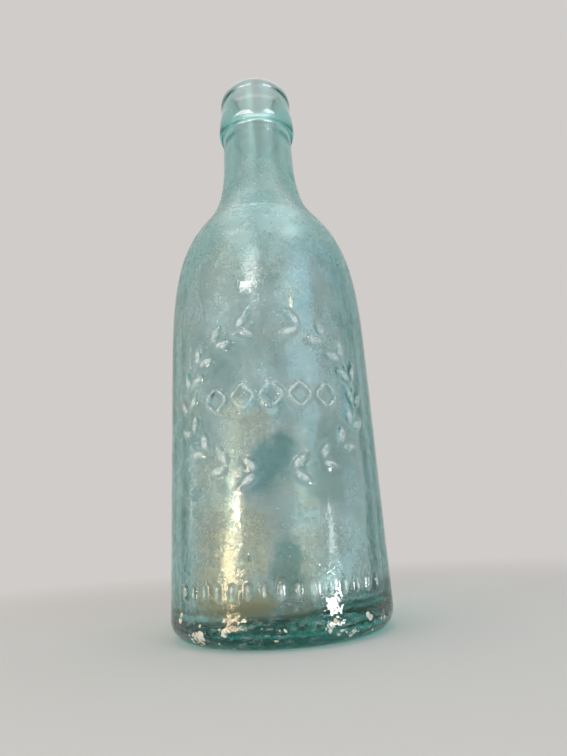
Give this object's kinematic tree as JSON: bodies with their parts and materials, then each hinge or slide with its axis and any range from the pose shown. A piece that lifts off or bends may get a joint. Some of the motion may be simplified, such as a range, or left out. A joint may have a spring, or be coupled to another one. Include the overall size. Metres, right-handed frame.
{
  "type": "soda bottle",
  "caption": "Open glass soda bottle with a straight round body, long sloping shoulder, short neck and a crown-finish lip applied to it.",
  "frame": {"origin": "centre of the resting ring, on the surface that the bottle stands on", "axes": "+Z along the bottle's axis towards the mouth; -Y towards the side that faces the viewer"},
  "size_m": [0.062, 0.062, 0.1855],
  "materials": {
    "aqua_glass": "thick aqua glass, worn and hazed by lime inside",
    "lip_glass": "fire-polished aqua glass, deeper green, tooled by hand"
  },
  "bodies": {
    "root": {"blown_vessel": "aqua_glass", "applied_lip": "lip_glass"}
  },
  "joints": []
}
